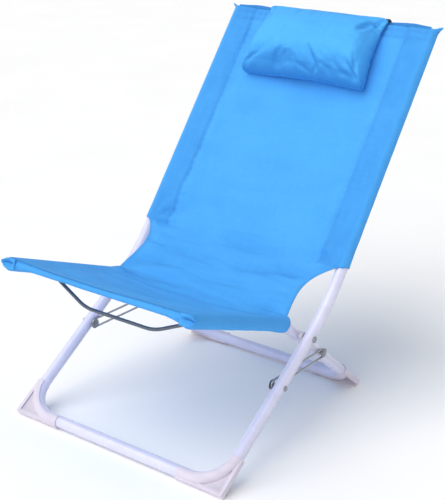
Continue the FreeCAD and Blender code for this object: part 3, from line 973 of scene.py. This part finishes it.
inflate(pillow_piece, FILL_CAP)
tailored(pillow_piece)
seam_lines = seam_loop(2)
smoothed(pillow_piece, seam_lines)
pillow_mesh = pillow_piece.data
on_seam = np.array([pillow_mesh.vertices[k].co for line in seam_lines for k in line]) / MM
points = np.array([v.co for v in pillow_mesh.vertices]) / MM
gaps = np.linalg.norm(points[:, None, :] - on_seam[None], axis=2).min(axis=1)
moved = []
for vertex, gap in zip(pillow_mesh.vertices, gaps):
    x, s, n = local(vertex.co)
    normal = np.array(vertex.normal)
    face = max(0.0, float(normal[1:] @ BACK[2]))
    x, s, n = local(np.array(vertex.co) + normal * cover_relief(x, s, n, gap, face) * MM)
    moved.append(place(x, at(BACK, s, max(n, rest_height(x, s) + 1.6))))
pillow_mesh.vertices.foreach_set("co", np.array(moved, np.float32).ravel())
pillow_mesh.update()

# Painted shade: the pillow's underside and its two sides are darkened by how far each point faces
# down or sideways.
shade = []
for vertex in pillow_mesh.vertices:
    downwards = -float(np.array(vertex.normal[1:]) @ BACK[1])
    sideways = abs(vertex.normal[0])
    shade.append(0.46 * smooth((downwards - 0.05) / 0.8) + 0.24 * smooth((sideways - 0.2) / 0.7))
pillow_mesh.attributes["fold"].data.foreach_set("value", np.array(shade, np.float32))


def seam_ridge(name, lines, radius, material):
    """A rolled seam allowance that lies in the groove along lines of pillow vertices."""
    cord = Cloth()
    for line in lines:
        rings = []
        for q, k in enumerate(line):
            vertex = pillow_mesh.vertices[k]
            ahead = (pillow_mesh.vertices[line[min(q + 1, len(line) - 1)]].co
                     - pillow_mesh.vertices[line[max(q - 1, 0)]].co).normalized()
            out = (vertex.normal - ahead * vertex.normal.dot(ahead)).normalized()
            sideways = ahead.cross(out)
            core = vertex.co + out * 0.3 * radius * MM
            turn = []
            for w in range(9):
                angle = 2 * math.pi * w / 8
                p = core + (out * math.cos(angle) + sideways * math.sin(angle)) * radius * MM
                # a little painted shade on the rolled seam
                turn.append(cord.point(tuple(p), (w * radius * 0.8, q * 5.0), 0.2))
            rings.append(turn)
        cord.grid(rings)
    return cord.build(name, material)


seam_piece = seam_ridge("pillow_seams", seam_lines, 1.0, pillow_cloth)

# The cloth that carries the pillow and the two tabs beside it. Each path goes over the top hem
# and down behind the back, as distances along the back and off its tubes' plane.
FLAP_HALF = 122
FLAP_PATH = ((580, 13.0), (590, 13.5), (597, 11.5), (600.5, 6.0), (601, 0.0), (598.5, -5.0),
             (591, -7.2), (575, -7.6), (560, -7.8), (540, -8.0), (520, -8.2), (500, -8.4))
STRAP_X = (-131.0, 131.0)
STRAP_PATH = ((584, 13), (590, 14), (595, 12), (599, 8), (600, 3), (599, -3), (594, -8),
              (582, -10), (564, -10.5), (546, -11))


def flap():
    """Cloth that carries the pillow: over the top hem and down behind the back."""
    cloth = Cloth()
    grid = []
    for r, (s, n) in enumerate(FLAP_PATH):
        line = []
        for j in range(61):
            x = (-1 + j / 30) * FLAP_HALF
            lower = 2.0 * wave(x / 40, r, 2) * (1 if s < 560 else 0.2)
            hang = rest_height(x, min(s, 589)) - rest_height(0, min(s, 589))
            off = n + min(hang, 4) * 0.5 + 0.7 * wave(x / 30, s / 30, 4)
            line.append(cloth.point(place(x, at(BACK, s + lower, off)), (x, 620 - r * 11)))
        grid.append(line)
    cloth.grid(grid)
    return cloth.build("pillow_flap_cloth", pillow_cloth, 0.8)


def straps():
    """Two narrow webbing tabs from the pillow's top corners to the flap, over the hem."""
    cloth = Cloth()
    for x0 in STRAP_X:
        grid = []
        for s, n in STRAP_PATH:
            grid.append([cloth.point(place(x0 + w, at(BACK, s, n)), (w, s))
                         for w in (-4, -2, 0, 2, 4)])
        cloth.grid(grid)
    return cloth.build("pillow_straps", webbing, 1.2)


flap_piece = flap()
strap_piece = straps()
for piece in (pillow_piece, seam_piece, flap_piece, strap_piece):
    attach(piece, "back_frame")
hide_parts("head_pillow")
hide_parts("pillow_flap")


# Floor, light and camera --------------------------------------------------------------------

FLOOR_REACH = 14.0             # metres, like the other lengths from here on
SKY = {"From Min": 0.24, "From Max": 0.45, "To Min": 1.0, "To Max": 0.48}
SUN_HEADING = (0.26, 0.52, -0.82)
CAMERA_AT = (1.176, -1.5896, 1.0326)
AZIMUTH = math.radians(34.884)
ELEVATION = math.radians(19.556)
ROLL = math.radians(1.264)


def floor_material():
    m = Shader("studio_floor")
    speck = m.noise(m.add("TexCoord", OBJECT_COORDS), 3.0, 3.0)
    tone = m.mix(m.ramp(speck, 0.0, 1.0, 0.3, 0.7), (0.975, 0.975, 0.975), (0.95, 0.95, 0.955))
    return m.set(Base_Color=tone, Roughness=0.8)


plane = bpy.data.meshes.new("studio_floor")
ends = (-FLOOR_REACH, FLOOR_REACH)
floor_corners = [(ends[0], ends[0], 0), (ends[1], ends[0], 0),
                 (ends[1], ends[1], 0), (ends[0], ends[1], 0)]
plane.from_pydata(floor_corners, [], [(0, 1, 2, 3)])
floor = bpy.data.objects.new("studio_floor", plane)
scene.collection.objects.link(floor)
plane.materials.append(floor_material())

# A white room that is brighter near the horizon than overhead
world = bpy.data.worlds.new("studio")
scene.world = world
world.use_nodes = True
studio = world.node_tree
sky = studio.nodes["Background"]
sky.inputs["Color"].default_value = (1.0, 1.0, 1.0, 1.0)
split = studio.nodes.new("ShaderNodeSeparateXYZ")
fade = studio.nodes.new("ShaderNodeMapRange")
upwards = studio.nodes.new("ShaderNodeTexCoord").outputs["Generated"]
studio.links.new(upwards, split.inputs[0])
studio.links.new(split.outputs["Z"], fade.inputs["Value"])
for socket, value in SKY.items():
    fade.inputs[socket].default_value = value
studio.links.new(fade.outputs["Result"], sky.inputs["Strength"])


def softbox(name, location, target, size, power):
    """A round lamp in metres and watts that faces its target."""
    lamp = bpy.data.lights.new(name, "AREA")
    lamp.shape = "DISK"
    lamp.size = size
    lamp.energy = power
    holder = bpy.data.objects.new(name, lamp)
    scene.collection.objects.link(holder)
    holder.location = location
    direction = Vector(target) - Vector(location)
    holder.rotation_euler = direction.to_track_quat("-Z", "Y").to_euler()


sun = bpy.data.lights.new("key", "SUN")
sun.energy = 1.92
sun.angle = math.radians(60)
key = bpy.data.objects.new("key", sun)
scene.collection.objects.link(key)
key.rotation_euler = Vector(SUN_HEADING).to_track_quat("-Z", "Y").to_euler()
softbox("front", location=(1.0, -2.8, 1.5), target=(0, 0, 0.35), size=1.6, power=9)

camera_data = bpy.data.cameras.new("camera")
camera = bpy.data.objects.new("camera", camera_data)
scene.collection.objects.link(camera)
camera_data.sensor_fit = "HORIZONTAL"
camera_data.sensor_width = 36.0
camera_data.lens = 88.4
camera_data.shift_x = -0.0692
camera_data.shift_y = -0.0361
camera.location = CAMERA_AT
back_axis = Vector((math.sin(AZIMUTH) * math.cos(ELEVATION),
                    -math.cos(AZIMUTH) * math.cos(ELEVATION), math.sin(ELEVATION)))
level = back_axis.to_track_quat("Z", "Y").to_matrix()
camera.rotation_euler = (level @ Matrix.Rotation(ROLL, 3, "Z")).to_euler()
scene.camera = camera
scene.view_settings.view_transform = "Standard"
